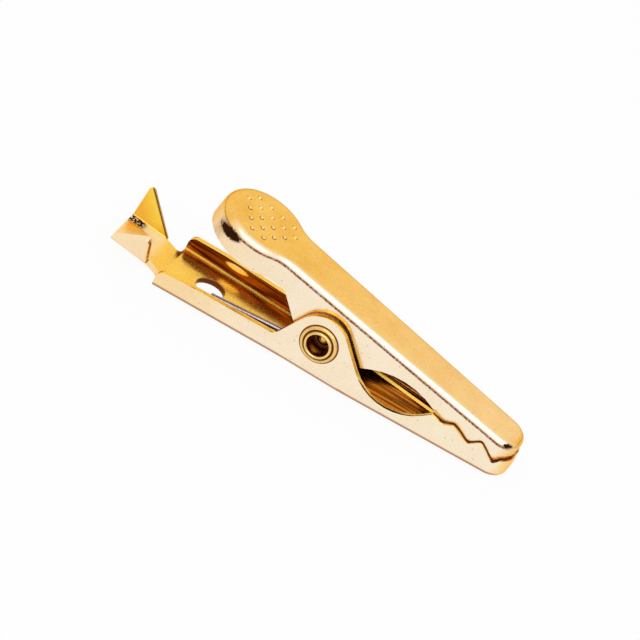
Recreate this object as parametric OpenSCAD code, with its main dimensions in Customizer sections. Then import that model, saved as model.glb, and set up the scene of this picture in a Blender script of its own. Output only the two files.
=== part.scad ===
// Mini crocodile clip for test leads: two pressed brass jaws on a hollow rivet,
// held shut by a steel torsion spring. Lengths are in millimetres.
// X runs from the crimp tail to the nose, Y across the clip and Z up.
// The origin is under the middle of the clip, on the plane that its floor rests on.

/* [Sheet metal] */
// Thickness of the brass sheet
sheet = 0.4; // [0.3:0.05:0.5]
// Outside radius of the long pressed bends
bend_r = 0.6; // [0.55:0.05:0.7]

/* [Lengths from the rivet axis] */
// To the tip of the nose
nose_len = 13.9; // [13.5:0.1:16]
// To the rear end of the crimp tail
tail_len = 15; // [14.4:0.1:16]
// To the rear end of the tail's side walls
wall_len = 11.15; // [10.8:0.05:11.4]
// To the middle of the wire hole in the tail's floor
wire_hole_x = 8.15; // [7:0.05:9]
// To the middle of the thumb paddle, measured along the back of the upper jaw
paddle_x = 7.4; // [7.3:0.1:8.2]

/* [Heights and slope] */
// Rivet axis above the plane that the floor rests on
pivot_h = 2.55; // [2.4:0.05:2.8]
// Top of the tail's side walls above that plane
tail_wall_h = 1.5; // [1.2:0.05:1.6]
// Back of the upper jaw above the rivet axis
back_h = 2.88; // [2.76:0.04:3.2]
// Slope of the back towards the nose, in degrees
back_slope = 11.6; // [10:0.1:11.8]

/* [Widths] */
// Half of the lower jaw's outside width at the rivet
lower_half = 2.5; // [2.3:0.05:2.8]
// Half of the lower jaw's outside width at the rear of its side walls
tail_half = 2.95; // [2.8:0.05:3.4]
// Half of the lower jaw's outside width at the nose
nose_half = 1.7; // [1.55:0.05:1.9]
// Gap between a pivot ear and the upper jaw's wall beside it
side_gap = 0.2; // [0.1:0.01:0.4]
// How far the upper jaw's sides stand inside the lower jaw's at the nose
nose_step = 0.15; // [0:0.05:0.25]
// Radius of the nose corners, seen from above
nose_corner = 1.25; // [0.8:0.05:1.3]

/* [Thumb paddle] */
// Radius of the paddle
paddle_r = 3.05; // [2.7:0.05:3.2]
// Depth of the paddle's turned-down rim
rim_depth = 1.85; // [1.4:0.05:1.9]
// Radius of the hollow blend from the paddle to the narrow back
paddle_blend = 2; // [1.6:0.1:2.4]
// Height of the grip pips
pip_h = 0.08; // [0.05:0.01:0.12]
// Sphere radius of the grip pips
pip_r = 0.22; // [0.18:0.01:0.26]
// Spacing of the grip pips
pip_pitch = 0.95; // [0.8:0.05:1.1]
// Radius of the field that the grip pips fill
pip_field = 2; // [1.6:0.1:2]

/* [Mouth and teeth] */
// Radius of the pivot ears
ear_r = 1.92; // [1.8:0.02:2.1]
// Radius of the upper jaw's lobes around the rivet
lobe_r = 1.6; // [1.4:0.05:1.65]
// Distance from the rivet axis to the front corner of the mouth
bite_x = 8.3; // [8.1:0.1:8.6]
// Distance from the rivet axis to the first valley of the lower jaw's teeth
first_valley = 9; // [8.9:0.05:9.2]
// Spacing of the teeth
tooth_pitch = 2; // [1.8:0.02:2.04]
// Half of the height of the first tooth
tooth_rise = 0.14; // [0.1:0.01:0.2]
// Height of the bite line over the floor plane at the first valley
bite_h = 2.03; // [2:0.03:2.18]
// Gap between the closed jaws' teeth
bite_gap = 0.08; // [0.05:0.01:0.15]

/* [Crimp tail] */
// Half of the flat floor between the folds of the crimp ears
crimp_half = 1.45; // [1.2:0.05:1.5]
// Length of the crimp ears along the tail
crimp_len = 2.7; // [2:0.1:2.8]
// Height of a crimp ear from its fold to its point
ear_len = 2.3; // [1.6:0.1:2.5]
// Angle of the crimp ears from the floor, in degrees
ear_lean = 65; // [55:1:85]
// Distance from an ear's upright edge to its point
ear_set = 0.15; // [0:0.05:0.3]
// Rise of the neck from the tail's floor to the crimp
crimp_rise = 0.45; // [0.2:0.05:0.6]
// Slope of the crimp's floor, up towards the rear, in degrees
crimp_pitch = 7; // [0:1:10]
// Half width of the neck between the crimp and the tail
neck_half = 1.6; // [1.4:0.05:1.7]
// Radius of the wire hole
wire_hole_r = 1; // [0.8:0.05:1.2]

/* [Rivet] */
// Radius of the shank
rivet_r = 0.8; // [0.7:0.05:0.85]
// Radius of the factory head
head_r = 1.3; // [1.15:0.05:1.45]
// Radius of the rolled lip at the clinched end
lip_r = 1.27; // [1.15:0.05:1.45]
// Height of the head and of the rolled lip
head_h = 0.34; // [0.28:0.02:0.4]
// Radius of the hollow end's bore
rivet_bore_r = 0.6; // [0.4:0.05:0.6]
// Depth of the hollow end's bore
rivet_bore_depth = 1.5; // [0.8:0.1:2]
// Radial gap between the shank and the upper jaw's holes
pivot_play = 0.06; // [0.03:0.01:0.08]
// Radial gap between the shank and the pivot ears' holes
seat_play = 0.02; // [0.01:0.01:0.03]

/* [Spring] */
// Diameter of the wire
wire_d = 0.45; // [0.35:0.05:0.5]
// Radial gap between the shank and the coil
coil_play = 0.1; // [0.06:0.02:0.2]
// Gap between the coil's ends and the upper jaw's walls
coil_side_gap = 0.07; // [0.04:0.01:0.15]
// Gap between a leg's tip and the sheet that it presses on
leg_gap = 0.04; // [0.02:0.01:0.08]
// Distance from the rivet axis to the tip of the leg on the lower jaw's floor
low_leg = 7.7; // [6:0.1:7.7]
// Distance from the rivet axis to the tip of the leg under the back
high_leg = 6.4; // [5:0.1:7]

/* [Hidden] */
$fn = 64;

brass = "#d8a544";
pale_brass = "#e6c27a";
spring_steel = "#9a9ca3";

// Depth of a cut that passes right through the clip, and the spare of an outline that cuts
through = 40;
spare = 1;
// The rivet's place along X, with the origin halfway along the clip
pivot_x = (tail_len - nose_len) / 2;
// Steps of the arcs in a pressed bend and the largest step of an outline's arc, in degrees
bend_steps = 6;
arc_step = 10;

// Outlines: points and tangent lines about a circle at the origin
function polar(r, a) = r * [cos(a), sin(a)];
function unit(v) = v / norm(v);
function corner(p, r) = [p.x, p.y, r];
// Where the tangents of a circle at the angles a and b cross
function tangent_corner(r, a, b) = polar(r / cos((a - b) / 2), (a + b) / 2);
// The point of the tangent at angle a that lies at a given height, or at a given x
function tangent_at_z(r, a, z) = polar(r, a) + (z - r * sin(a)) / cos(a) * [-sin(a), cos(a)];
function tangent_at_x(r, a, x) = polar(r, a) + (r * cos(a) - x) / sin(a) * [-sin(a), cos(a)];

// One corner [x, y, radius] of an outline, between its neighbours, as an arc
function corner_arc(before, here, after) =
    let (p = [here.x, here.y])
    let (u = unit([before.x, before.y] - p))
    let (v = unit([after.x, after.y] - p))
    let (half = acos(u * v) / 2)
    let (centre = p + unit(u + v) * here[2] / sin(half))
    let (from = p + u * here[2] / tan(half) - centre)
    let (to = p + v * here[2] / tan(half) - centre)
    let (start = atan2(from.y, from.x))
    let (turn = (atan2(to.y, to.x) - start + 540) % 360 - 180)
    let (steps = max(3, ceil(abs(turn) / arc_step)))
    [for (i = [0:steps]) centre + polar(here[2], start + turn * i / steps)];

// A closed outline from corners [x, y, radius], where a radius of 0 stays sharp
function rounded(corners) =
    let (n = len(corners))
    [for (i = [0:n - 1]) each corners[i][2] == 0
        ? [[corners[i].x, corners[i].y]]
        : corner_arc(corners[(i + n - 1) % n], corners[i], corners[(i + 1) % n])];

// A closed skin over rings of equally many points, with a flat cap on each end.
// The first ring turns anticlockwise when its cap is seen from outside.
module skin(rings) {
    n = len(rings[0]);
    last = (len(rings) - 1) * n;
    sides = [for (k = [0:len(rings) - 2]) for (i = [0:n - 1])
        let (j = (i + 1) % n)
        each [[k * n + i, k * n + j, k * n + n + j], [k * n + i, k * n + n + j, k * n + n + i]]];
    caps = [[for (i = [n - 1:-1:0]) i], [for (i = [0:n - 1]) last + i]];
    polyhedron([for (ring = rings) each ring], concat(caps, sides));
}

// A sheet pressed to an upside-down tray with its flat on Z = 0.
// plan(inset) gives its outline from above, moved inwards by inset.
module pressed(plan, depth) {
    inner_r = bend_r - sheet;
    step = 90 / bend_steps;
    level = function (inset, z) [for (p = plan(inset)) [p.x, p.y, z]];
    outside = [for (a = [90:-step:0]) level(bend_r * (1 - cos(a)), bend_r * (sin(a) - 1))];
    inside = [for (a = [0:step:90]) level(sheet + inner_r * (1 - cos(a)), inner_r * sin(a) - bend_r)];
    skin(concat(outside, [level(0, -depth), level(sheet, -depth)], inside));
}

// A side view, drawn in X and Z about the rivet axis, carried across the clip
module side_view(points) {
    rotate([90, 0, 0])
        linear_extrude(through, center = true)
            polygon(points);
}

// Both jaws' edges along the bite, as a height over the rivet axis.
// The teeth rise steeply and fall slowly, grow towards the nose, and end level halfway up the last rise.
full_teeth = 2;
tooth_lead = 0.4;
tooth_growth = 0.0625;
bite_fall = 0.125;
tooth_point = 0.93;
tooth_samples = 15;
bite_end = first_valley + (full_teeth + tooth_lead / 2) * tooth_pitch;
function tooth_wave(x) =
    let (phase = ((x - first_valley) / tooth_pitch + 1) % 1)
    let (climb = phase < tooth_lead ? phase / tooth_lead : (1 - phase) / (1 - tooth_lead))
    asin(-tooth_point * cos(180 * climb)) / asin(tooth_point);
function bite_edge(x) =
    let (reach = min(x, bite_end) - first_valley)
    bite_h - pivot_h - bite_fall * reach + (tooth_rise + tooth_growth * reach) * tooth_wave(reach + first_valley);
function bite_line(raise) =
    let (step = tooth_pitch / tooth_samples)
    concat(
        [for (x = [bite_x + step:step:bite_end]) [x, bite_edge(x) + raise]],
        [[nose_len + spare, bite_edge(bite_end) + raise]]
    );

// Lower jaw
// The walls run parallel beside the rivet, flare to the tail and taper to the nose
flat_len = 2.2;
plan_sweep = 20;
tail_flare = (tail_half - lower_half) / (wall_len - flat_len);
nose_taper = (lower_half - nose_half) / (nose_len - flat_len);
rear_spare = 2 * bend_r;
lower_plan = function (inset)
    let (rear = -wall_len - rear_spare + inset)
    let (nose = nose_len - inset)
    let (half = [
        corner([rear, lower_half + tail_flare * (-rear - flat_len) - inset], 0),
        corner([-flat_len, lower_half - inset], plan_sweep),
        corner([flat_len, lower_half - inset], plan_sweep),
        corner([nose, lower_half - nose_taper * (nose - flat_len) - inset], nose_corner - inset)
    ])
    rounded(concat([for (c = half) [c.x, -c.y, c[2]]], [for (i = [3:-1:0]) half[i]]));

// Directions, in degrees, in which the ear's straight edges face
ear_rear = 149;
ear_front = 40;
mouth_low_x = 5.05;
mouth_low_r = 3.4;
tail_corner_r = 0.55;
tail_corner_drop = 0.15;
tail_rise_len = 2.6;
tail_rise_r = 6;
ear_fillet = 0.6;
function lower_side() = concat(
    rounded([
        corner([nose_len + spare, -pivot_h - spare], 0),
        corner([-wall_len, -pivot_h - spare], 0),
        corner([-wall_len, tail_wall_h - tail_corner_drop - pivot_h], tail_corner_r),
        corner([tail_rise_len - wall_len, tail_wall_h - pivot_h], tail_rise_r),
        corner(tangent_at_z(ear_r, ear_rear, tail_wall_h - pivot_h), ear_fillet),
        corner(tangent_corner(ear_r, ear_rear, ear_front), ear_r),
        corner(tangent_at_x(ear_r, ear_front, mouth_low_x), mouth_low_r),
        corner([bite_x, bite_edge(bite_x)], 0)
    ]),
    bite_line(0)
);

// The tail behind the walls: a notched neck that ramps up to the crimp's floor
notch_r = 0.42;
tail_bend_in = 0.3;
tail_bend_out = 0.7;
floor_edge = tail_half - bend_r - 0.1;
crimp_front = crimp_len * cos(crimp_pitch) - tail_len;
neck_ramp = atan2(crimp_rise, -wall_len - crimp_front);
function tail_outline() =
    let (half = [
        corner([-tail_len - spare, crimp_half], 0),
        corner([crimp_front, crimp_half], 0),
        corner([crimp_front, neck_half], 0),
        corner([-wall_len, neck_half], notch_r),
        corner([-wall_len, floor_edge], 0),
        corner([spare - wall_len, floor_edge], 0)
    ])
    rounded(concat([for (c = half) [c.x, -c.y, c[2]]], [for (i = [5:-1:0]) half[i]]));
// The upper face over a point of the underside, between slopes of the angles a and b
function above(p, a, b) = p + sheet / cos((a - b) / 2) * [sin((a + b) / 2), cos((a + b) / 2)];
function tail_profile() =
    let (start = [spare - wall_len, 0])
    let (knee = [-wall_len, 0])
    let (front = [crimp_front, crimp_rise])
    let (rear = [-tail_len, crimp_rise + crimp_len * sin(crimp_pitch)])
    rounded([
        corner(start, 0),
        corner(above(start, 0, 0), 0),
        corner(above(knee, 0, neck_ramp), tail_bend_in),
        corner(above(front, neck_ramp, crimp_pitch), tail_bend_out),
        corner(above(rear, crimp_pitch, crimp_pitch), 0),
        corner(rear, 0),
        corner(front, tail_bend_in),
        corner(knee, tail_bend_out)
    ]);
module tail() {
    intersection() {
        translate([0, 0, -spare])
            linear_extrude(through)
                polygon(tail_outline());
        side_view(tail_profile());
    }
}

// A crimp ear on the +Y side: a fold at the floor's edge, then a pointed flap.
// The flap's upright edge stands at the rear and its slanted edge faces the nose.
// Both points lean back against the crimp's slope, so they stand square to the clip's own floor.
fold_r = 0.15;
ear_tip_r = 0.22;
ear_back = ear_len * tan(crimp_pitch);
module crimp_ear(point_x) {
    translate([-crimp_len, crimp_half, sheet + fold_r])
        rotate([90, 0, 90]) {
            rotate([0, 0, -90])
                rotate_extrude(angle = ear_lean)
                    translate([fold_r, 0])
                        square([sheet, crimp_len]);
            rotate([0, 0, ear_lean - 90])
                translate([fold_r, 0, 0])
                    rotate([0, -90, 180])
                        linear_extrude(sheet)
                            mirror([0, 1, 0])
                                polygon(rounded([[0, 0, 0], [crimp_len, 0, 0], [point_x, ear_len, ear_tip_r]]));
        }
}

module lower_jaw() {
    color(brass)
        translate([pivot_x, 0, 0])
            difference() {
                union() {
                    intersection() {
                        mirror([0, 0, 1])
                            pressed(lower_plan, pivot_h + ear_r + spare);
                        translate([0, 0, pivot_h])
                            side_view(lower_side());
                    }
                    tail();
                    // One ear points the other way, so that the two pass when they are closed
                    translate([crimp_front, 0, crimp_rise])
                        rotate([0, crimp_pitch, 0]) {
                            crimp_ear(ear_set - ear_back);
                            translate([-crimp_len, 0, 0])
                                rotate([0, 0, 180])
                                    crimp_ear(ear_set + ear_back);
                        }
                }
                translate([0, 0, pivot_h])
                    rotate([90, 0, 0])
                        cylinder(r = rivet_r + seat_play, h = through, center = true);
                translate([-wire_hole_x, 0, 0])
                    cylinder(r = wire_hole_r, h = 3 * sheet, center = true);
            }
}

// Upper jaw, drawn with its back level and then tilted about the rivet
up_half = lower_half - sheet - side_gap;
up_nose_half = nose_half - nose_step;
up_nose = bend_r + (nose_len - bend_r - (back_h - bend_r) * sin(back_slope)) / cos(back_slope);
up_taper = (up_half - up_nose_half) / up_nose;
up_angle = atan(up_taper);
// The blend's circle touches the paddle from outside and the tapered side
blend_y = up_half + paddle_blend / cos(up_angle);
blend_reach = paddle_r + paddle_blend;
blend_b = blend_y * up_taper - paddle_x;
blend_c = paddle_x ^ 2 + blend_y ^ 2 - blend_reach ^ 2;
blend_x = (blend_b + sqrt(blend_b ^ 2 - (1 + up_taper ^ 2) * blend_c)) / (1 + up_taper ^ 2);
blend_centre = [blend_x, blend_y - up_taper * blend_x];
blend_angle = atan2(blend_centre.y, blend_centre.x + paddle_x);
up_corner_x = up_nose - nose_corner;
up_corner = [up_corner_x, up_half - up_taper * up_corner_x - nose_corner / cos(up_angle)];
function sweep(centre, r, from, to, steps) =
    [for (i = [0:steps]) centre + polar(r, from + (to - from) * i / steps)];
upper_plan = function (inset)
    let (half = concat(
        sweep([-paddle_x, 0], paddle_r - inset, 180, blend_angle, 14),
        sweep(blend_centre, paddle_blend + inset, blend_angle + 180, 270 - up_angle, 5),
        sweep(up_corner, nose_corner - inset, 90 - up_angle, 0, 7)
    ))
    concat([for (p = half) [p.x, -p.y]], [for (i = [len(half) - 1:-1:1]) half[i]]);

function tilted(p) =
    [p.x * cos(back_slope) + p.y * sin(back_slope), p.y * cos(back_slope) - p.x * sin(back_slope)];
// Directions, in degrees, in which the straight edges beside the lobe face
lobe_rear = 219.4;
lobe_front = 296;
mouth_top_x = 5.9;
mouth_top_r = 5;
knee_r = 0.7;
rim_z = back_h - rim_depth;
up_dir = [sin(back_slope), cos(back_slope)];
lobe_edge = [-sin(lobe_rear), cos(lobe_rear)];
knee = polar(lobe_r, lobe_rear)
    + (rim_z - polar(lobe_r, lobe_rear) * up_dir) / (lobe_edge * up_dir) * lobe_edge;
function upper_side() = concat(
    rounded([
        corner([nose_len + spare, back_h + spare], 0),
        corner(tilted([-paddle_x - paddle_r - spare, back_h + spare]), 0),
        corner(tilted([-paddle_x - paddle_r - spare, rim_z]), 0),
        corner(knee, knee_r),
        corner(tangent_corner(lobe_r, lobe_rear, lobe_front), lobe_r),
        corner(tangent_at_x(lobe_r, lobe_front, mouth_top_x), mouth_top_r),
        corner([bite_x, bite_edge(bite_x) + bite_gap], 0)
    ]),
    bite_line(bite_gap)
);

// Grip pips on the paddle, in staggered rows about the middle of three of them
pip_rows = 3;
pip_middle = [0.5, sqrt(3) / 6];
module grip_pips() {
    for (row = [-pip_rows:pip_rows])
        for (i = [-2 * pip_rows:2 * pip_rows]) {
            place = pip_pitch * ([i + row / 2, row * sqrt(3) / 2] - pip_middle);
            if (norm(place) < pip_field)
                translate([place.x - paddle_x, place.y, back_h + pip_h - pip_r])
                    sphere(r = pip_r, $fn = 20);
        }
}

module upper_jaw() {
    color(pale_brass)
        translate([pivot_x, 0, pivot_h])
            difference() {
                union() {
                    intersection() {
                        rotate([0, back_slope, 0])
                            translate([0, 0, back_h])
                                pressed(upper_plan, back_h + lobe_r + spare);
                        side_view(upper_side());
                    }
                    rotate([0, back_slope, 0])
                        grip_pips();
                }
                rotate([90, 0, 0])
                    cylinder(r = rivet_r + pivot_play, h = through, center = true);
            }
}

// Hollow rivet: a round head on the far side, a rolled lip around its bore on the near side
head_edge = 0.26;
lip_edge = 0.28;
lip_hollow = 0.25;
module rivet() {
    color(brass)
        translate([pivot_x, 0, pivot_h])
            rotate([-90, 0, 0])
                rotate_extrude()
                    polygon(rounded([
                        corner([0, lower_half + head_h], 0),
                        corner([0, rivet_bore_depth - lower_half], 0),
                        corner([rivet_bore_r, rivet_bore_depth - lower_half], 0),
                        corner([rivet_bore_r, -lower_half - head_h], lip_hollow),
                        corner([lip_r, -lower_half - head_h], lip_edge),
                        corner([lip_r, -lower_half], 0),
                        corner([rivet_r, -lower_half], 0),
                        corner([rivet_r, lower_half], 0),
                        corner([head_r, lower_half], 0),
                        corner([head_r, lower_half + head_h], head_edge)
                    ]));
}

// Torsion spring: a close coil between two straight legs
coil_r = rivet_r + coil_play + wire_d / 2;
coil_half = up_half - sheet - coil_side_gap - wire_d / 2;
low_tip = [-low_leg, sheet + leg_gap + wire_d / 2 - pivot_h];
high_tip = tilted([-high_leg, back_h - sheet - leg_gap - wire_d / 2]);
// The legs leave the coil along its tangents, the lower one below and the other one above
low_angle = atan2(low_tip.y, low_tip.x) + acos(coil_r / norm(low_tip));
high_angle = atan2(high_tip.y, high_tip.x) - acos(coil_r / norm(high_tip));
coil_pack = 1.04;
part_turn = (high_angle - low_angle) / 360;
coil_turns = floor(2 * coil_half / (wire_d * coil_pack) - part_turn) + part_turn;
coil_samples = 18;
wire_sides = 10;
function coil_path() =
    let (steps = ceil(coil_turns * coil_samples))
    [for (i = [0:steps])
        let (p = polar(coil_r, low_angle + 360 * coil_turns * i / steps))
        [p.x, coil_half * (2 * i / steps - 1), p.y]];
function wire_ring(path, i) =
    let (t = unit(path[min(i + 1, len(path) - 1)] - path[max(i - 1, 0)]))
    let (a = unit(cross(t, [0, 1, 0])))
    let (b = cross(a, t))
    [for (k = [0:wire_sides - 1])
        path[i] + wire_d / 2 * (cos(360 * k / wire_sides) * a + sin(360 * k / wire_sides) * b)];
module spring() {
    path = concat([[low_tip.x, -coil_half, low_tip.y]], coil_path(), [[high_tip.x, coil_half, high_tip.y]]);
    color(spring_steel)
        translate([pivot_x, 0, pivot_h])
            skin([for (i = [0:len(path) - 1]) wire_ring(path, i)]);
}

lower_jaw();
upper_jaw();
rivet();
spring();
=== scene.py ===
# A mini crocodile clip for test leads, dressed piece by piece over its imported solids.
# Lengths are written in millimetres and turned to metres by MM.
import math
from types import SimpleNamespace

import bmesh
import bpy
from mathutils import Matrix, Vector


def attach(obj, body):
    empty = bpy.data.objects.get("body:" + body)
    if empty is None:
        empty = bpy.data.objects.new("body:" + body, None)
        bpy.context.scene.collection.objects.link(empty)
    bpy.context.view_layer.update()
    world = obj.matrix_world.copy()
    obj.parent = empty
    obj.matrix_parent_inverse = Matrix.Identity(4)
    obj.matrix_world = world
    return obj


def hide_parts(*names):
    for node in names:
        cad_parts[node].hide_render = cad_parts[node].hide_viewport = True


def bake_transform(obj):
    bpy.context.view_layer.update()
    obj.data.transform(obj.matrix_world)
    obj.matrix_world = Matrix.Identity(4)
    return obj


MM = 0.001
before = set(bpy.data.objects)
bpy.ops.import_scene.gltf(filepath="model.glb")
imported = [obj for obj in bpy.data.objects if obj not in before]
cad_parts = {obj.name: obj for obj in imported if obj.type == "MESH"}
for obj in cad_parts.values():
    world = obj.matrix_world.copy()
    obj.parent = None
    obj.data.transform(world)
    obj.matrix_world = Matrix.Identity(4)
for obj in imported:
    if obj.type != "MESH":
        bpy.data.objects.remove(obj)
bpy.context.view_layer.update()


# Camera: a long lens looks down on the near side of the clip and is rolled,
# so that the clip runs from the upper left to the lower right of the picture.
view_azimuth = math.radians(8.5)
view_elevation = math.radians(31.65)
view_roll = math.radians(26.6)
view_centre = Vector((-0.17, -1.85, 3.72)) * MM
view_width = 40 * MM
view_distance = 520 * MM

turn = Matrix.Rotation(view_azimuth, 4, "Z") @ Matrix.Rotation(math.pi / 2 - view_elevation, 4, "X")
turn = turn @ Matrix.Rotation(view_roll, 4, "Z")
stand_off = Matrix.Translation((0, 0, view_distance))
camera = bpy.data.objects.new("camera", bpy.data.cameras.new("camera"))
camera.data.sensor_width = 36
camera.data.lens = camera.data.sensor_width * view_distance / view_width
camera.data.clip_start = 10 * MM
camera.data.clip_end = 5000 * MM
camera.matrix_world = Matrix.Translation(view_centre) @ turn @ stand_off
bpy.context.scene.collection.objects.link(camera)
bpy.context.scene.camera = camera


# Lower jaw: one pressing of brass sheet, folded to a channel with toothed walls,
# pivot ears, a wire hole and two crimp ears. It carries the rivet and rests on its floor.
pivot = Vector((0.55, 0, 2.55))
broken_edge = 0.035 * MM

# A Mix node has a pair of sockets for each kind of data, told apart by their number.
COLOUR_A = 6
COLOUR_B = 7
VECTOR_A = 4
VECTOR_B = 5


def linear(code):
    """An sRGB hex colour as linear red, green, blue and alpha."""
    parts = [int(code[i:i + 2], 16) / 255 for i in (1, 3, 5)]
    return tuple(c / 12.92 if c <= 0.04045 else ((c + 0.055) / 1.055) ** 2.4 for c in parts) + (1,)


def add(tree, kind, sockets=None, **settings):
    """Adds a node with its settings. A socket gets a value, or a link from another socket or node."""
    made = tree.nodes.new(kind)
    for name, value in settings.items():
        setattr(made, name, value)
    for key, value in (sockets or {}).items():
        if isinstance(value, bpy.types.Node):
            value = next(output for output in value.outputs if output.enabled)
        if isinstance(value, bpy.types.NodeSocket):
            tree.links.new(value, made.inputs[key])
        else:
            made.inputs[key].default_value = value
    return made


def new_material(name):
    """An empty node material and its tree."""
    material = bpy.data.materials.new(name)
    material.use_nodes = True
    material.node_tree.nodes.clear()
    return material, material.node_tree


def sheet_readings(tree, middle, cover_from, ear_reach):
    """What the finishes and painted light of the sheet go by: the place in millimetres, where the surface
    faces, the unevenness of rolled metal, its narrow gaps, and the parts of the clip that are coloured alike.
    Outward is mostly sideways, away from the upright plane through the middle of the piece."""
    grain_size = 0.09
    mottle_size = 0.14
    cloud_size = 1.8
    pit_spacing = 0.5
    gap_reach = 0.22
    ears_middle = 0.6
    cover_fade = 3
    bottom_height = 0.8
    cloud_weight = 0.6
    mostly_across = (0.07, 1, 0)
    at = SimpleNamespace()
    source = add(tree, "ShaderNodeTexCoord")
    normal = source.outputs["Normal"]
    at.place = add(tree, "ShaderNodeVectorMath", {0: source.outputs["Object"], "Scale": 1 / MM},
                   operation="SCALE")
    at.x, at.y, at.z = add(tree, "ShaderNodeSeparateXYZ", {0: at.place}).outputs
    at.faces_x, at.faces_y, at.faces_z = add(tree, "ShaderNodeSeparateXYZ", {0: normal}).outputs

    # The rolled metal: grain, coarser than real so that it shows, mottle, broad clouds and pits
    at.grain = add(tree, "ShaderNodeTexNoise", {"Vector": at.place, "Scale": 1 / grain_size, "Detail": 3})
    at.mottle = add(tree, "ShaderNodeTexNoise", {"Vector": at.place, "Scale": 1 / mottle_size, "Detail": 4})
    at.cloud = add(tree, "ShaderNodeTexNoise", {"Vector": at.place, "Scale": 1 / cloud_size, "Detail": 4})
    at.pits = add(tree, "ShaderNodeTexVoronoi", {"Vector": at.place, "Scale": 1 / pit_spacing})
    gaps = add(tree, "ShaderNodeAmbientOcclusion", {"Distance": gap_reach * MM}, samples=8)
    at.openness = gaps.outputs["AO"]

    # Outward and inward faces, with a clouded border, and faces turned to their own side
    away = add(tree, "ShaderNodeVectorMath", {0: at.place, 1: middle}, operation="SUBTRACT")
    level = add(tree, "ShaderNodeVectorMath", {0: away, 1: mostly_across}, operation="MULTIPLY")
    outward = add(tree, "ShaderNodeVectorMath", {0: level, 1: normal}, operation="DOT_PRODUCT")
    at.outward = add(tree, "ShaderNodeMath", {0: at.cloud, 1: cloud_weight, 2: outward},
                     operation="MULTIPLY_ADD")
    at.inside = add(tree, "ShaderNodeMapRange", {"Value": at.outward, "From Min": -1.35, "From Max": -2.2},
                    interpolation_type="SMOOTHSTEP")
    at.flank = add(tree, "ShaderNodeMath", {0: at.y}, operation="SIGN")
    at.turned = add(tree, "ShaderNodeMath", {0: at.faces_y, 1: at.flank}, operation="MULTIPLY")

    # The parts: level faces, those under the other jaw, far side, bottom, crimp and pivot ears
    at.upward = add(tree, "ShaderNodeMapRange", {"Value": at.faces_z, "From Min": 0.8, "From Max": 0.95})
    ahead = add(tree, "ShaderNodeMapRange",
                {"Value": at.x, "From Min": cover_from, "From Max": cover_from + cover_fade},
                interpolation_type="SMOOTHSTEP")
    at.covered = add(tree, "ShaderNodeMath", {0: ahead, 1: at.upward}, operation="MULTIPLY")
    at.far_side = add(tree, "ShaderNodeMapRange", {"Value": at.y, "From Min": 0.5, "From Max": 0.9})
    at.bottom = add(tree, "ShaderNodeMath", {0: at.z, 1: bottom_height}, operation="LESS_THAN")
    at.crimp = add(tree, "ShaderNodeMapRange",
                   {"Value": at.x, "From Min": -11.4, "From Max": -12, "To Max": 0.4})
    at.crimp_floor = add(tree, "ShaderNodeMath", {0: at.crimp, 1: at.upward}, operation="MULTIPLY")
    at.ears = add(tree, "ShaderNodeMath", {0: at.x, 1: ears_middle, 2: ear_reach}, operation="COMPARE")
    return at


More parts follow.
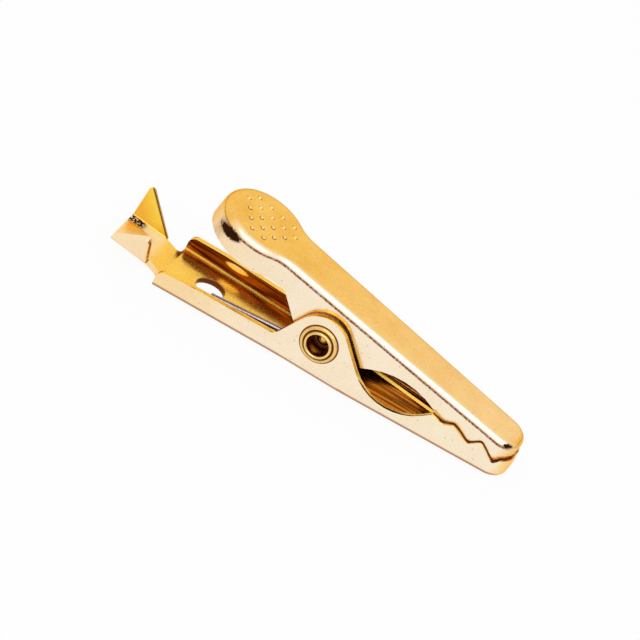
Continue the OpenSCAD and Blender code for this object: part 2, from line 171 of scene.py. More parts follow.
def sheet_with_painted_sheen(tree, at, flat, flat_tint, sheen, sheen_tint):
    """The bare sheet: golden on its flats, with a painted sheen that turns it pale on the outsides
    of folds and walls, along the nose and at the crimp, and with a few brown flecks."""
    cloud_weight = 1.2
    # Painted sheen: outward faces turn pale, less so toward the tail and on bends at the rear end
    outside = add(tree, "ShaderNodeMapRange", {"Value": at.outward, "From Min": 0.5, "From Max": 1.5},
                  interpolation_type="SMOOTHSTEP")
    painted_reflection_share = add(tree, "ShaderNodeMapRange",
                  {"Value": at.x, "From Min": -11, "From Max": -2, "To Min": 0.53},
                  interpolation_type="SMOOTHSTEP")
    rear_end = add(tree, "ShaderNodeMapRange", {"Value": at.x, "From Min": -7, "From Max": -8.5})
    bend = add(tree, "ShaderNodeMapRange", {"Value": at.faces_z, "From Min": 0.15, "From Max": 0.45})
    rear_bend_gold = add(tree, "ShaderNodeMath", {0: rear_end, 1: bend}, operation="MULTIPLY")
    sheen_amount = add(tree, "ShaderNodeMath", {0: painted_reflection_share, 1: rear_bend_gold}, operation="SUBTRACT", use_clamp=True)
    outward_sheen = add(tree, "ShaderNodeMath", {0: outside, 1: sheen_amount}, operation="MULTIPLY")

    # Painted sheen: the nose pales toward its end, but less on the face of its tip; the crimp's floor and
    # near ear are pale
    nose = add(tree, "ShaderNodeMapRange", {"Value": at.x, "From Min": -4, "From Max": 12, "To Max": 0.3})
    near_side = add(tree, "ShaderNodeMapRange", {"Value": at.y, "From Min": -1.2, "From Max": -1.5})
    not_inner = add(tree, "ShaderNodeMapRange",
                    {"Value": at.faces_y, "From Min": 0.4, "From Max": 0.2, "To Max": 2})
    near_edge = add(tree, "ShaderNodeMath", {0: near_side, 1: not_inner}, operation="MULTIPLY")
    near_ear = add(tree, "ShaderNodeMath", {0: near_edge, 1: at.crimp}, operation="MULTIPLY")
    crimp_end = add(tree, "ShaderNodeMath", {0: near_ear, 1: at.crimp_floor}, operation="MAXIMUM")
    open_end = add(tree, "ShaderNodeMath", {0: nose, 1: crimp_end}, operation="MAXIMUM")
    sheen_parts = add(tree, "ShaderNodeMath", {0: outward_sheen, 1: open_end}, operation="MAXIMUM")
    tip = add(tree, "ShaderNodeMapRange", {"Value": at.x, "From Min": 12.5, "From Max": 13.5, "To Max": 0.65})
    ahead_face = add(tree, "ShaderNodeMapRange", {"Value": at.faces_x, "From Min": 0.3, "From Max": 0.8})
    tip_face = add(tree, "ShaderNodeMath", {0: tip, 1: ahead_face}, operation="MULTIPLY")
    sheen_share = add(tree, "ShaderNodeMath", {0: sheen_parts, 1: tip_face},
                     operation="SUBTRACT", use_clamp=True)

    drift = add(tree, "ShaderNodeMath", {0: at.cloud, 1: cloud_weight, 2: at.mottle},
                operation="MULTIPLY_ADD")
    tinted = add(tree, "ShaderNodeMapRange", {"Value": drift, "From Min": 0.7, "From Max": 1.5})
    golden = add(tree, "ShaderNodeMix", {0: tinted, COLOUR_A: linear(flat), COLOUR_B: linear(flat_tint)},
                 data_type="RGBA")
    sheen_colour = add(tree, "ShaderNodeMix", {0: tinted, COLOUR_A: linear(sheen), COLOUR_B: linear(sheen_tint)},
               data_type="RGBA")
    sheet = add(tree, "ShaderNodeMix", {0: sheen_share, COLOUR_A: golden, COLOUR_B: sheen_colour}, data_type="RGBA")
    fleck = add(tree, "ShaderNodeMapRange",
                {"Value": at.pits, "From Min": 0.14, "From Max": 0.05, "To Max": 0.45})
    return add(tree, "ShaderNodeMix", {0: fleck, COLOUR_A: sheet, COLOUR_B: linear("#B0702C")},
               data_type="RGBA")


def painted_corner_shade(tree, at, sheet, shaded_colour):
    """Painted shade in sheltered corners, inside the walls and under the other jaw, brown, streaked
    lengthwise and darker up the walls. It is left off at the pivot ears and at a painted highlight inside the
    tail's walls.
    Gives the colour and the share of painted shade."""
    shelter_reach = 6
    wall_weight = 1.7
    hidden_weight = -0.36
    highlight_place = (-7, 0, 1.15)
    highlight_shape = (1.2, 0, 5)
    streak_length = 5
    streaks_per_mm = 4.5
    corner = add(tree, "ShaderNodeAmbientOcclusion", {"Distance": shelter_reach * MM}, samples=8)
    walled = add(tree, "ShaderNodeMath", {0: at.inside, 1: wall_weight}, operation="MULTIPLY")
    hidden = add(tree, "ShaderNodeMath", {0: walled, 1: at.covered}, operation="MAXIMUM")
    exposure = add(tree, "ShaderNodeMath", {0: hidden, 1: hidden_weight, 2: corner.outputs["AO"]},
                   operation="MULTIPLY_ADD")
    # A painted highlight: a pale oval spot on the inner faces of the tail's walls
    from_highlight = add(tree, "ShaderNodeVectorMath", {0: at.place, 1: highlight_place}, operation="SUBTRACT")
    stretched_highlight = add(tree, "ShaderNodeVectorMath", {0: from_highlight, 1: highlight_shape}, operation="MULTIPLY")
    highlight_radius = add(tree, "ShaderNodeVectorMath", {0: stretched_highlight}, operation="LENGTH")
    painted_spot = add(tree, "ShaderNodeMapRange", {"Value": highlight_radius, "From Min": 1.1, "From Max": 0.7})
    past_crimp = add(tree, "ShaderNodeMapRange", {"Value": at.x, "From Min": -11, "From Max": -10.7})
    unshaded = add(tree, "ShaderNodeMath", {0: painted_spot, 1: at.ears}, operation="MAXIMUM")
    most = add(tree, "ShaderNodeMath", {0: past_crimp, 1: unshaded}, operation="SUBTRACT", use_clamp=True)
    painted_shade = add(tree, "ShaderNodeMapRange",
                {"Value": exposure, "From Min": 0.38, "From Max": 0.1, "To Max": most},
                interpolation_type="SMOOTHSTEP")

    # Streaks, coarser than real, which thin the painted shade less toward the top of a wall
    streak_shape = (1 / streak_length, streaks_per_mm, streaks_per_mm)
    drawn_out = add(tree, "ShaderNodeVectorMath", {0: at.place, 1: streak_shape}, operation="MULTIPLY")
    streaks = add(tree, "ShaderNodeTexNoise", {"Vector": drawn_out, "Scale": 1, "Detail": 4})
    streaked = add(tree, "ShaderNodeMapRange", {"Value": streaks, "From Min": 0.4, "From Max": 0.56})
    shade_streaks = add(tree, "ShaderNodeMix",
                  {0: streaked, COLOUR_A: linear("#5A2408"), COLOUR_B: linear(shaded_colour)},
                  data_type="RGBA")
    wall_top = add(tree, "ShaderNodeMapRange", {"Value": at.z, "From Min": 0.65, "From Max": 1.2,
                                                "To Min": 0.4, "To Max": 0.86})
    thinned = add(tree, "ShaderNodeMapRange", {"Value": streaked, "To Min": 1, "To Max": wall_top})
    darkened = add(tree, "ShaderNodeMath", {0: at.inside, 1: thinned}, operation="MULTIPLY")
    brown = add(tree, "ShaderNodeMix", {0: darkened, COLOUR_A: shade_streaks, COLOUR_B: linear("#40190C")},
                data_type="RGBA")
    browned = add(tree, "ShaderNodeMix", {0: painted_shade, COLOUR_A: sheet, COLOUR_B: brown}, data_type="RGBA")
    # The painted highlight spot goes only on inner faces
    inner_highlight = add(tree, "ShaderNodeMath", {0: painted_spot, 1: at.inside}, operation="MULTIPLY")
    colour = add(tree, "ShaderNodeMix", {0: inner_highlight, COLOUR_A: browned, COLOUR_B: linear("#FFF0C0")},
                 data_type="RGBA")
    return colour, painted_shade


def painted_gap_shade(tree, at, base):
    """Painted shade in the narrow gaps and on the wire hole's wall, and a painted shadow close around the
    rivet's lip.
    In the gaps beside the pivot ears it is an orange painted reflection of the brass. Gives the colour and
    the share of painted shade in the gaps."""
    wire_hole = (-7.6, 0, 0)
    hole_shade_r = 1.03
    lip_shadow_r = 1.34
    wall_end = add(tree, "ShaderNodeMapRange", {"Value": at.x, "From Min": -10.3, "From Max": -10.6})
    notch = add(tree, "ShaderNodeMath", {0: wall_end, 1: at.far_side}, operation="MULTIPLY")
    most = add(tree, "ShaderNodeMapRange", {"Value": notch, "To Min": 0.9, "To Max": 0.1})
    gap_shade = add(tree, "ShaderNodeMapRange",
               {"Value": at.openness, "From Min": 0.85, "From Max": 0.5, "To Max": most},
               interpolation_type="SMOOTHSTEP")
    from_hole = add(tree, "ShaderNodeVectorMath", {0: at.place, 1: wire_hole}, operation="SUBTRACT")
    in_plan = add(tree, "ShaderNodeVectorMath", {0: from_hole, 1: (1, 1, 0)}, operation="MULTIPLY")
    hole_radius = add(tree, "ShaderNodeVectorMath", {0: in_plan}, operation="LENGTH")
    in_hole = add(tree, "ShaderNodeMath", {0: hole_radius, 1: hole_shade_r}, operation="LESS_THAN")
    hole_wall = add(tree, "ShaderNodeMath", {0: in_hole, 1: at.bottom}, operation="MULTIPLY")
    # Painted shadow: a dark ring close around the rivet's lip
    from_pivot = add(tree, "ShaderNodeVectorMath", {0: at.place, 1: pivot}, operation="SUBTRACT")
    side_on = add(tree, "ShaderNodeVectorMath", {0: from_pivot, 1: (1, 0, 1)}, operation="MULTIPLY")
    pivot_radius = add(tree, "ShaderNodeVectorMath", {0: side_on}, operation="LENGTH")
    past_lip = add(tree, "ShaderNodeMath", {0: pivot_radius, 1: lip_shadow_r}, operation="GREATER_THAN")
    lip_shadow = add(tree, "ShaderNodeMath", {0: at.ears, 1: past_lip}, operation="SUBTRACT", use_clamp=True)
    rings_of_shade = add(tree, "ShaderNodeMath", {0: hole_wall, 1: lip_shadow}, operation="MAXIMUM")
    gap_and_ring_shade = add(tree, "ShaderNodeMath", {0: gap_shade, 1: rings_of_shade}, operation="MAXIMUM")
    # Painted reflection: the gaps beside the pivot ears are orange, as brass mirrored in brass
    ear_gap_reflection = add(tree, "ShaderNodeMath", {0: at.ears, 1: past_lip}, operation="MULTIPLY")
    gap_colour = add(tree, "ShaderNodeMix",
              {0: ear_gap_reflection, COLOUR_A: linear("#6E300C"), COLOUR_B: linear("#E8862A")},
              data_type="RGBA")
    colour = add(tree, "ShaderNodeMix", {0: gap_and_ring_shade, COLOUR_A: base, COLOUR_B: gap_colour}, data_type="RGBA")
    return colour, gap_shade


def painted_dark_reflections(tree, at):
    """The share of painted dark reflections: at the far corner of the crimp's floor, on the near side of the
    paddle's rim, and at the near side of the nose's end."""
    rear = add(tree, "ShaderNodeMapRange", {"Value": at.x, "From Min": -13.1, "From Max": -13.5})
    far_rear = add(tree, "ShaderNodeMath", {0: rear, 1: at.far_side}, operation="MULTIPLY")
    speckle = add(tree, "ShaderNodeMapRange", {"Value": at.mottle, "From Min": 0.4, "From Max": 0.46})
    broken = add(tree, "ShaderNodeMath", {0: far_rear, 1: speckle}, operation="MULTIPLY")
    crimp_dark = add(tree, "ShaderNodeMath", {0: broken, 1: at.upward}, operation="MULTIPLY")

    # Each spot: its place, its shape as scales of the three directions, its fraying, and its rim and core
    rim_dark = ((-7.6, 0, 6.36), (1.0, 0, 2.5), 0.9, 1.5, 1.2)
    nose_dark = ((13.9, 0, 2.5), (2.8, 0, 6), 1.3, 1.7, 1.2)
    faces_near = add(tree, "ShaderNodeMapRange", {"Value": at.faces_y, "From Min": -0.3, "From Max": -0.5})
    spots = []
    for place, shape, fraying, rim, core in (rim_dark, nose_dark):
        away = add(tree, "ShaderNodeVectorMath", {0: at.place, 1: place}, operation="SUBTRACT")
        shaped = add(tree, "ShaderNodeVectorMath", {0: away, 1: shape}, operation="MULTIPLY")
        radius = add(tree, "ShaderNodeVectorMath", {0: shaped}, operation="LENGTH")
        frayed = add(tree, "ShaderNodeMath", {0: at.mottle, 1: fraying, 2: radius}, operation="MULTIPLY_ADD")
        painted_spot = add(tree, "ShaderNodeMapRange", {"Value": frayed, "From Min": rim, "From Max": core})
        spots.append(add(tree, "ShaderNodeMath", {0: painted_spot, 1: faces_near}, operation="MULTIPLY"))
    painted_reflection_share = add(tree, "ShaderNodeMath", {0: spots[0], 1: spots[1]}, operation="MAXIMUM")
    return add(tree, "ShaderNodeMath", {0: crimp_dark, 1: painted_reflection_share}, operation="MAXIMUM")


def far_crimp_ear_tint(tree, at, base, painted_darks):
    """The far crimp ear: its inner face has an orange tint that lightens to yellow toward the
    front, and its front edge is darkened with painted shade. The painted dark reflections lie over the tint."""
    ear_slope = 1.07
    tint_share = 0.7
    to_front = add(tree, "ShaderNodeMath", {0: at.z, 1: ear_slope, 2: at.x}, operation="MULTIPLY_ADD")
    front = add(tree, "ShaderNodeMapRange", {"Value": to_front, "From Min": -10.92, "From Max": -10.8})
    standing = add(tree, "ShaderNodeMapRange", {"Value": at.faces_z, "From Min": 0.85, "From Max": 0.7})
    end = add(tree, "ShaderNodeMapRange", {"Value": at.x, "From Min": -11.4, "From Max": -11.6})
    far_end = add(tree, "ShaderNodeMath", {0: end, 1: at.far_side}, operation="MULTIPLY")
    upright = add(tree, "ShaderNodeMath", {0: far_end, 1: standing}, operation="MULTIPLY")
    faces_in = add(tree, "ShaderNodeMapRange", {"Value": at.faces_y, "From Min": -0.1, "From Max": -0.3})
    inner_face = add(tree, "ShaderNodeMath", {0: upright, 1: faces_in}, operation="MULTIPLY")
    forward = add(tree, "ShaderNodeMapRange", {"Value": to_front, "From Min": -12.3, "From Max": -10.9})
    ear_tint = add(tree, "ShaderNodeMix", {0: forward, COLOUR_A: linear("#F0A020"), COLOUR_B: linear("#F8D444")},
               data_type="RGBA")
    share = add(tree, "ShaderNodeMath", {0: inner_face, 1: tint_share}, operation="MULTIPLY")
    tinted_ear = add(tree, "ShaderNodeMix", {0: share, COLOUR_A: base, COLOUR_B: ear_tint}, data_type="RGBA")
    patched = add(tree, "ShaderNodeMix", {0: painted_darks, COLOUR_A: tinted_ear, COLOUR_B: linear("#34180A")},
                  data_type="RGBA")
    # Painted shade on the front edge of the far crimp ear
    front_edge = add(tree, "ShaderNodeMath", {0: upright, 1: front}, operation="MULTIPLY")
    return add(tree, "ShaderNodeMix", {0: front_edge, COLOUR_A: patched, COLOUR_B: linear("#6A2810")},
               data_type="RGBA")


def painted_fold_lines(tree, at, base, painted_darks, crease):
    """Painted lines along the folds: a painted highlight where the tail's and the nose's walls meet the
    floor, an uneven brown painted dark reflection in the crease below the back, and a brown painted
    reflection along the edge that the clip rests on.
    Gives the colour, the share where the tail's fold line and the edge line are not metal, and the bright
    foot of the nose's walls."""
    channel_middle = -6.2
    channel_half = 5.2
    nose_taper = 0.149
    foot_middle = 2.3
    foot_half = 0.17
    faint_share = 0.45
    crimp_front = -11.6
    # Painted highlight: a bright line where the walls of the tail and the nose meet the floor
    slanted = add(tree, "ShaderNodeMath", {0: at.turned, 1: at.faces_z}, operation="MULTIPLY")
    fold = add(tree, "ShaderNodeMapRange", {"Value": slanted, "From Min": -0.2, "From Max": -0.4})
    in_tail = add(tree, "ShaderNodeMath", {0: at.x, 1: channel_middle, 2: channel_half}, operation="COMPARE")
    above_floor = add(tree, "ShaderNodeMath", {0: at.faces_z, 1: 0}, operation="GREATER_THAN")
    upper_fold = add(tree, "ShaderNodeMath", {0: fold, 1: above_floor}, operation="MULTIPLY")
    tail_fold = add(tree, "ShaderNodeMath", {0: upper_fold, 1: in_tail}, operation="MULTIPLY")
    breadth = add(tree, "ShaderNodeMath", {0: at.y}, operation="ABSOLUTE")
    untapered = add(tree, "ShaderNodeMath", {0: at.x, 1: nose_taper, 2: breadth}, operation="MULTIPLY_ADD")
    near_wall = add(tree, "ShaderNodeMath", {0: untapered, 1: foot_middle, 2: foot_half}, operation="COMPARE")
    foot = add(tree, "ShaderNodeMath", {0: near_wall, 1: at.covered}, operation="MULTIPLY")
    bright = add(tree, "ShaderNodeMath", {0: tail_fold, 1: foot}, operation="MAXIMUM")
    lit = add(tree, "ShaderNodeMix", {0: bright, COLOUR_A: base, COLOUR_B: linear("#FFCE5A")},
              data_type="RGBA")

    # The painted dark crease lies where the bend has all but turned down into the wall, and stops at the
    # painted dark reflections
    above = add(tree, "ShaderNodeMapRange", {"Value": at.faces_z, "From Min": 0.1, "From Max": 0.18})
    below = add(tree, "ShaderNodeMapRange", {"Value": at.faces_z, "From Min": 0.42, "From Max": 0.32})
    sideways = add(tree, "ShaderNodeMapRange", {"Value": at.turned, "From Min": 0.6, "From Max": 0.8})
    window = add(tree, "ShaderNodeMath", {0: above, 1: below}, operation="MULTIPLY")
    bend_foot = add(tree, "ShaderNodeMath", {0: window, 1: sideways}, operation="MULTIPLY")
    faint = add(tree, "ShaderNodeMapRange", {"Value": at.mottle, "From Min": 0.35, "From Max": 0.55,
                                             "To Min": crease * faint_share, "To Max": crease})
    line = add(tree, "ShaderNodeMath", {0: bend_foot, 1: faint}, operation="MULTIPLY")
    crease_dark = add(tree, "ShaderNodeMath", {0: line, 1: painted_darks}, operation="SUBTRACT", use_clamp=True)
    with_crease_dark = add(tree, "ShaderNodeMix", {0: crease_dark, COLOUR_A: lit, COLOUR_B: linear("#8A4412")},
                 data_type="RGBA")

    # Painted reflection: a brown line on the bend the clip rests on, as the shaded floor under it mirrored
    under = add(tree, "ShaderNodeMapRange", {"Value": at.faces_z, "From Min": -0.25, "From Max": -0.55})
    past_crimp = add(tree, "ShaderNodeMath", {0: at.x, 1: crimp_front}, operation="GREATER_THAN")
    low = add(tree, "ShaderNodeMath", {0: under, 1: at.bottom}, operation="MULTIPLY")
    lying = add(tree, "ShaderNodeMath", {0: low, 1: past_crimp}, operation="MULTIPLY")
    bottom_dark = add(tree, "ShaderNodeMath", {0: lying, 1: sideways}, operation="MULTIPLY")
    colour = add(tree, "ShaderNodeMix", {0: bottom_dark, COLOUR_A: with_crease_dark, COLOUR_B: linear("#B06A2C")},
                 data_type="RGBA")
    matt_painted_lines = add(tree, "ShaderNodeMath", {0: tail_fold, 1: bottom_dark}, operation="MAXIMUM")
    return colour, matt_painted_lines, foot


def worn_edges(tree, at, base, painted_shade):
    """Bright wear on the cut edges that stand free and out of the painted shade."""
    wear_width = 0.07
    smooth = add(tree, "ShaderNodeBevel", {"Radius": wear_width * MM}, samples=4)
    bare = add(tree, "ShaderNodeNewGeometry")
    bent = add(tree, "ShaderNodeVectorMath", {0: smooth, 1: bare.outputs["Normal"]}, operation="DOT_PRODUCT")
    edge = add(tree, "ShaderNodeMapRange", {"Value": bent, "From Min": 0.99, "From Max": 0.9, "To Max": 0.65})
    proud = add(tree, "ShaderNodeMapRange", {"Value": at.openness, "From Min": 0.85, "From Max": 0.95})
    unshaded = add(tree, "ShaderNodeMath", {0: proud, 1: painted_shade}, operation="SUBTRACT", use_clamp=True)
    worn = add(tree, "ShaderNodeMath", {0: edge, 1: unshaded}, operation="MULTIPLY")
    return add(tree, "ShaderNodeMix", {0: worn, COLOUR_A: base, COLOUR_B: linear("#FFE9B0")},
               data_type="RGBA")


def sheet_relief(tree, at, foot):
    """The normal of the sheet: swept up at the foot of the nose's walls and dished at the crimp's far side,
    gently wavy from the press, with the grain and pits of rolling drawn coarser than real."""
    wave_depth = 0.05
    grain_depth = 0.01
    grain_weight = 0.5
    sweep_across = -0.86
    sweep_up = 0.51
    dish_across = -0.55
    dish_up = 0.8
    bare = add(tree, "ShaderNodeNewGeometry")
    inward = add(tree, "ShaderNodeMath", {0: at.flank, 1: sweep_across}, operation="MULTIPLY")
    swept = add(tree, "ShaderNodeCombineXYZ", {"Y": inward, "Z": sweep_up})
    rounded = add(tree, "ShaderNodeMix", {0: foot, VECTOR_A: bare.outputs["Normal"], VECTOR_B: swept},
                  data_type="VECTOR")
    dish_slope = add(tree, "ShaderNodeMath", {0: at.y, 1: dish_across}, operation="MULTIPLY")
    dish = add(tree, "ShaderNodeCombineXYZ", {"Y": dish_slope, "Z": dish_up})
    hollow = add(tree, "ShaderNodeMath", {0: at.crimp_floor, 1: at.far_side}, operation="MULTIPLY")
    dished = add(tree, "ShaderNodeMix", {0: hollow, VECTOR_A: rounded, VECTOR_B: dish}, data_type="VECTOR")
    wavy = add(tree, "ShaderNodeBump", {"Strength": 0.5, "Distance": wave_depth * MM, "Height": at.cloud,
                                        "Normal": dished})
    pit = add(tree, "ShaderNodeMapRange", {"Value": at.pits, "From Max": 0.13})
    grain = add(tree, "ShaderNodeMath", {0: at.grain, 1: grain_weight, 2: pit}, operation="MULTIPLY_ADD")
    return add(tree, "ShaderNodeBump", {"Strength": 0.3, "Distance": grain_depth * MM, "Height": grain,
                                        "Normal": wavy})


def pressed_brass(name, middle, flat, flat_tint, sheen, sheen_tint, shaded_colour,
                  cover_from=99, crease=0, ear_reach=2.1):
    """Rolled and tumbled brass sheet after some use: a soft golden gloss, pale with a painted sheen, brown
    and dark with painted shade and painted dark reflections, with painted highlights. What faces up in front
    of cover_from is under the other jaw, crease is the strength of the painted dark line below the back, and
    ear_reach is how far around the pivot the painted shade is left off."""
    material, tree = new_material(name)
    at = sheet_readings(tree, middle, cover_from, ear_reach)
    colour = sheet_with_painted_sheen(tree, at, flat, flat_tint, sheen, sheen_tint)
    colour, painted_shade = painted_corner_shade(tree, at, colour, shaded_colour)
    colour, gap_shade = painted_gap_shade(tree, at, colour)
    painted_darks = painted_dark_reflections(tree, at)
    colour = far_crimp_ear_tint(tree, at, colour, painted_darks)
    colour, matt_painted_lines, foot = painted_fold_lines(tree, at, colour, painted_darks, crease)
    colour = worn_edges(tree, at, colour, painted_shade)

    # The painted fold lines and the painted shade in the narrow gaps are not metal, so they do not mirror
    coat = add(tree, "ShaderNodeMath", {0: matt_painted_lines, 1: gap_shade}, operation="MAXIMUM")
    metal = add(tree, "ShaderNodeMapRange", {"Value": coat, "To Min": 1, "To Max": 0})
    rough = add(tree, "ShaderNodeMapRange", {"Value": at.mottle, "From Min": 0.3, "From Max": 0.7,
                                             "To Min": 0.13, "To Max": 0.26})
    relief = sheet_relief(tree, at, foot)
    shader = add(tree, "ShaderNodeBsdfPrincipled",
                 {"Base Color": colour, "Metallic": metal, "Roughness": rough,
                  "Specular Tint": linear("#FFD9A0"), "Normal": relief})
    add(tree, "ShaderNodeOutputMaterial", {0: shader})
    return material


def softened_copy(node, name, edge):
    """A copy of a CAD node as one clean mesh, its cut edges broken by a fine rounding."""
    piece = bpy.data.objects.new(name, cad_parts[node].data.copy())
    bpy.context.scene.collection.objects.link(piece)
    shape = bmesh.new()
    shape.from_mesh(piece.data)
    bmesh.ops.remove_doubles(shape, verts=shape.verts, dist=0.002 * MM)
    bmesh.ops.dissolve_limit(shape, angle_limit=math.radians(0.6), verts=shape.verts, edges=shape.edges)
    for face in shape.faces:
        face.smooth = True
    shape.to_mesh(piece.data)
    shape.free()
    piece.data.materials.clear()
    rounding = piece.modifiers.new("broken edges", "BEVEL")
    rounding.width = edge
    rounding.segments = 3
    rounding.limit_method = "ANGLE"
    rounding.angle_limit = math.radians(32)
    rounding.harden_normals = True
    flats = piece.modifiers.new("even flats", "WEIGHTED_NORMAL")
    flats.keep_sharp = True
    flats.weight = 80
    return piece


lower_jaw = softened_copy("lower_jaw", "lower_jaw_pressing", broken_edge)
# The lower jaw's brass: gold flats, a pale painted sheen, and the brown of its painted shade
lower_jaw.data.materials.append(
    pressed_brass("rolled brass, lower jaw", (0, 0, 0), "#FFD568", "#F6BA48", "#FBEDD2", "#F9E3C2", "#C8702A",
                  cover_from=-2))
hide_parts("lower_jaw")
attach(lower_jaw, "base")


# Rivet: a hollow brass rivet through both jaws. Its flat head is on the far side,
# and its open end is rolled over to a round lip against the near ear.
shank_r = 0.8
ear_face = 2.5
head_r = 1.3
head_edge = 0.24
head_h = 0.34
lip_r = 1.27
lip_groove = 0.98
lip_collar_h = 0.2
bore_r = 0.6
bore_mouth = 0.7
bore_end = -1.6
bore_dome = -1.9
dome_foot = 0.8 * bore_r
dome_shoulder = (0.5 * bore_r, 0.3 * bore_end + 0.7 * bore_dome)
arc_step = 15
spin_steps = 72
sharp_from = math.radians(40)

# The outline as radius and place along the axis, from the middle of the head to the middle of the bore
outline = [(0, ear_face + head_h)]
for degrees in range(90, -1, -arc_step):
    angle = math.radians(degrees)
    drop = head_edge * (1 - math.sin(angle))
    outline.append((head_r - head_edge * (1 - math.cos(angle)), ear_face + head_h - drop))
outline += [(head_r, ear_face), (shank_r, ear_face), (shank_r, -ear_face), (lip_r, -ear_face)]
collar = ((lip_r + lip_groove) / 2, (lip_r - lip_groove) / 2, lip_collar_h, 0, 165)
roll = ((lip_groove + bore_mouth) / 2, (lip_groove - bore_mouth) / 2, head_h, 15, 180)
for middle_r, half, height, first, last in (collar, roll):
    for degrees in range(first, last, arc_step):
        angle = math.radians(degrees)
        outline.append((middle_r + half * math.cos(angle), -ear_face - height * math.sin(angle)))
outline += [(bore_r, bore_end), (dome_foot, bore_end), dome_shoulder, (0, bore_dome)]

shape = bmesh.new()
points = [shape.verts.new((r, y, 0)) for r, y in outline]
edges = [shape.edges.new(pair) for pair in zip(points, points[1:])]
bmesh.ops.spin(shape, geom=points + edges, axis=(0, 1, 0), angle=2 * math.pi, steps=spin_steps,
               use_merge=True)
bmesh.ops.remove_doubles(shape, verts=shape.verts, dist=0.001)
bmesh.ops.recalc_face_normals(shape, faces=shape.faces)
bmesh.ops.transform(shape, matrix=Matrix.Scale(MM, 4) @ Matrix.Translation(pivot), verts=shape.verts)
for face in shape.faces:
    face.smooth = True
rivet = bpy.data.objects.new("hollow_rivet", bpy.data.meshes.new("hollow_rivet"))
bpy.context.scene.collection.objects.link(rivet)
shape.to_mesh(rivet.data)
shape.free()
rivet.data.set_sharp_from_angle(angle=sharp_from)
# The rivet's brass: a pale painted sheen outside, and a dark painted shade in its bore
rivet.data.materials.append(
    pressed_brass("turned brass, rivet", pivot, "#DCAA56", "#BE8A3C", "#F6D88E", "#E2B66A", "#3A2208",
                  ear_reach=0))
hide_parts("rivet")
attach(rivet, "base")


# Spring: drawn spring-steel wire wound on the rivet, with one straight leg on the lower jaw's
# floor and one under the back of the upper jaw, so it winds up as the jaws open.
def drawn_steel(name):
    """Bare drawn wire: bright grey with a faint violet, mottled by the rest of the drawing soap."""
    mottle_size = 0.2
    material, tree = new_material(name)
    source = add(tree, "ShaderNodeTexCoord")
    place = add(tree, "ShaderNodeVectorMath", {0: source.outputs["Object"], "Scale": 1 / MM},
                operation="SCALE")
    mottle = add(tree, "ShaderNodeTexNoise", {"Vector": place, "Scale": 1 / mottle_size, "Detail": 5})
    colour = add(tree, "ShaderNodeMix", {0: mottle, COLOUR_A: linear("#7A7484"), COLOUR_B: linear("#CFCAD4")},
                 data_type="RGBA")
    shader = add(tree, "ShaderNodeBsdfPrincipled", {"Base Color": colour, "Metallic": 1, "Roughness": 0.2})
    add(tree, "ShaderNodeOutputMaterial", {0: shader})
    return material


def only(kind, made):
    """The elements of one kind among what an operator made."""
    return [element for element in made if isinstance(element, kind)]


wire_r = 0.225
wire_sides = 16
coil_r = 1.125
coil_half = 1.205
coil_turns = 4
coil_steps = 200
low_tip = Vector((-7.7, 0, -1.885))
high_tip = Vector((-5.824, 0, 3.457))
low_angle = math.atan2(low_tip.z, low_tip.x) + math.acos(coil_r / low_tip.length)
high_angle = math.atan2(high_tip.z, high_tip.x) - math.acos(coil_r / high_tip.length)
coil_angle = high_angle - low_angle + coil_turns * 2 * math.pi
coil_rise = (0, 2 * coil_half / coil_steps, 0)
low_tip.y = -coil_half
high_tip.y = coil_half
low_leave = Vector((coil_r * math.cos(low_angle), -coil_half, coil_r * math.sin(low_angle)))
high_leave = Vector((coil_r * math.cos(high_angle), coil_half, coil_r * math.sin(high_angle)))

# The wire's round end grows along the low leg, around the coil and out along the high leg
shape = bmesh.new()
low_leg = low_leave - low_tip
wire_end = Matrix.Translation(low_tip) @ low_leg.to_track_quat("Z", "Y").to_matrix().to_4x4()
bmesh.ops.create_circle(shape, cap_ends=True, segments=wire_sides, radius=wire_r, matrix=wire_end)
grown = bmesh.ops.extrude_edge_only(shape, edges=list(shape.edges))["geom"]
bmesh.ops.translate(shape, vec=low_leg, verts=only(bmesh.types.BMVert, grown))
ring = only((bmesh.types.BMVert, bmesh.types.BMEdge), grown)
coil = bmesh.ops.spin(shape, geom=ring, axis=(0, -1, 0), angle=coil_angle, steps=coil_steps, dvec=coil_rise)
coil_end = only(bmesh.types.BMEdge, coil["geom_last"])
grown = bmesh.ops.extrude_edge_only(shape, edges=coil_end)["geom"]
bmesh.ops.translate(shape, vec=high_tip - high_leave, verts=only(bmesh.types.BMVert, grown))
bmesh.ops.contextual_create(shape, geom=only(bmesh.types.BMEdge, grown))
bmesh.ops.recalc_face_normals(shape, faces=shape.faces)
bmesh.ops.transform(shape, matrix=Matrix.Scale(MM, 4) @ Matrix.Translation(pivot), verts=shape.verts)
for face in shape.faces:
    face.smooth = True
spring = bpy.data.objects.new("torsion_spring", bpy.data.meshes.new("torsion_spring"))
bpy.context.scene.collection.objects.link(spring)
shape.to_mesh(spring.data)
shape.free()
spring.data.set_sharp_from_angle(angle=sharp_from)
spring.data.materials.append(drawn_steel("drawn spring steel"))
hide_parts("spring")
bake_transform(spring)


# Upper jaw: a narrower pressing of the same sheet, with a round thumb paddle, grip pips,
# lobes around the rivet and a toothed nose that meshes with the lower jaw. It turns on the rivet.
upper_middle = (2, 0, 0)
upper_shade_colour = "#863E14"
paddle_middle = Vector((-6.1, 0)) * MM
pip_reach = 2.3 * MM
pip_facet = 0.02 * MM ** 2
back_slope = math.radians(11.6)
back_normal = Vector((math.sin(back_slope), 0, math.cos(back_slope)))
foot_tilt = math.radians(30)
pip_top = 1
pip_foot = 2

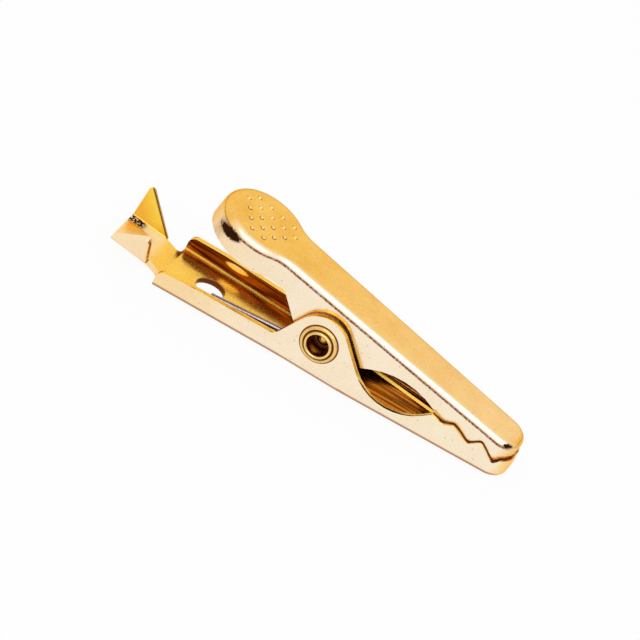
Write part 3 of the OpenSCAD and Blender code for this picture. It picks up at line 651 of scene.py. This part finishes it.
upper_jaw = softened_copy("upper_jaw", "upper_jaw_pressing", broken_edge)
upper_jaw.data.materials.append(
    pressed_brass("rolled brass, upper jaw", upper_middle, "#FACE70", "#EFB24E", "#FBEDD4", "#F9E4C4",
                  upper_shade_colour, crease=1))
for name, shade, tint in (("brass with painted highlight, grip pips", "#FFEBC0", "#FBDA94"),
                          ("brass with painted shadow, feet of the pips", "#A86E2A", "#8A5218")):
    upper_jaw.data.materials.append(
        pressed_brass(name, upper_middle, shade, tint, shade, tint, upper_shade_colour))

# The pips' small facets get a painted highlight on top and a painted shadow around their steep feet
for face in upper_jaw.data.polygons:
    if (face.center.xy - paddle_middle).length < pip_reach and face.area < pip_facet:
        face.material_index = pip_foot if face.normal.angle(back_normal) > foot_tilt else pip_top
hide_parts("upper_jaw")
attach(upper_jaw, "upper")


# Setting: a white sheet under the clip in a white room, lit by one wide softbox overhead and in front.
# A dark skirting runs low around the room; it tones the bright metal, while the lens sees only white.
sheet_half = 400 * MM
glow_when_seen = 0.7
glow_always = 0.25
white = linear("#FFFFFF")

floor = bpy.data.objects.new("floor", bpy.data.meshes.new("floor"))
bpy.context.scene.collection.objects.link(floor)
shape = bmesh.new()
bmesh.ops.create_grid(shape, x_segments=1, y_segments=1, size=sheet_half)
shape.to_mesh(floor.data)
shape.free()

# White paper: dull, with part of its light its own, so that it stays white and still takes a shadow
material, tree = new_material("white sheet")
path = add(tree, "ShaderNodeLightPath")
glow = add(tree, "ShaderNodeEmission", {"Color": white, "Strength": 1})
paper = add(tree, "ShaderNodeBsdfDiffuse", {"Color": linear("#D7D7D7")})
mirrored = add(tree, "ShaderNodeMath",
               {0: path.outputs["Is Glossy Ray"], 1: path.outputs["Is Transmission Ray"]},
               operation="ADD")
seen = add(tree, "ShaderNodeMath", {0: path.outputs["Is Camera Ray"], 1: mirrored}, operation="ADD")
share = add(tree, "ShaderNodeMath", {0: seen, 1: glow_when_seen, 2: glow_always}, operation="MULTIPLY_ADD")
mixed = add(tree, "ShaderNodeMixShader", {0: share, 1: paper, 2: glow})
add(tree, "ShaderNodeOutputMaterial", {0: mixed})
floor.data.materials.append(material)

softbox = bpy.data.lights.new("softbox", "AREA")
softbox.shape = "RECTANGLE"
softbox.size = 440 * MM
softbox.size_y = 320 * MM
softbox.energy = 0.5
holder = bpy.data.objects.new("softbox", softbox)
holder.location = Vector((100, -250, 300)) * MM
bpy.context.scene.collection.objects.link(holder)

world = bpy.data.worlds.new("studio")
world.use_nodes = True
bpy.context.scene.world = world
tree = world.node_tree
tree.nodes.clear()
path = add(tree, "ShaderNodeLightPath")
source = add(tree, "ShaderNodeTexCoord")
toward = add(tree, "ShaderNodeSeparateXYZ", {0: source.outputs["Generated"]})
skirting = add(tree, "ShaderNodeMapRange", {"Value": toward.outputs["Z"], "From Min": 0.02, "From Max": 0.12,
                                            "To Min": 1, "To Max": 0}, interpolation_type="SMOOTHSTEP")
above = add(tree, "ShaderNodeMath", {0: 1, 1: skirting}, operation="SUBTRACT")
mirrored = add(tree, "ShaderNodeMath",
               {0: path.outputs["Is Glossy Ray"], 1: path.outputs["Is Transmission Ray"]},
               operation="ADD")
shown = add(tree, "ShaderNodeMath", {0: mirrored, 1: above}, operation="MULTIPLY")
seen = add(tree, "ShaderNodeMath", {0: shown, 1: path.outputs["Is Camera Ray"]}, operation="ADD")
room = add(tree, "ShaderNodeMix", {0: skirting, COLOUR_A: white, COLOUR_B: linear("#4A2812")},
           data_type="RGBA")
lit = add(tree, "ShaderNodeMix", {0: seen, COLOUR_A: room, COLOUR_B: white}, data_type="RGBA")
backdrop = add(tree, "ShaderNodeBackground", {"Color": lit, "Strength": 1})
add(tree, "ShaderNodeOutputWorld", {0: backdrop})

bpy.context.scene.view_settings.view_transform = "Standard"
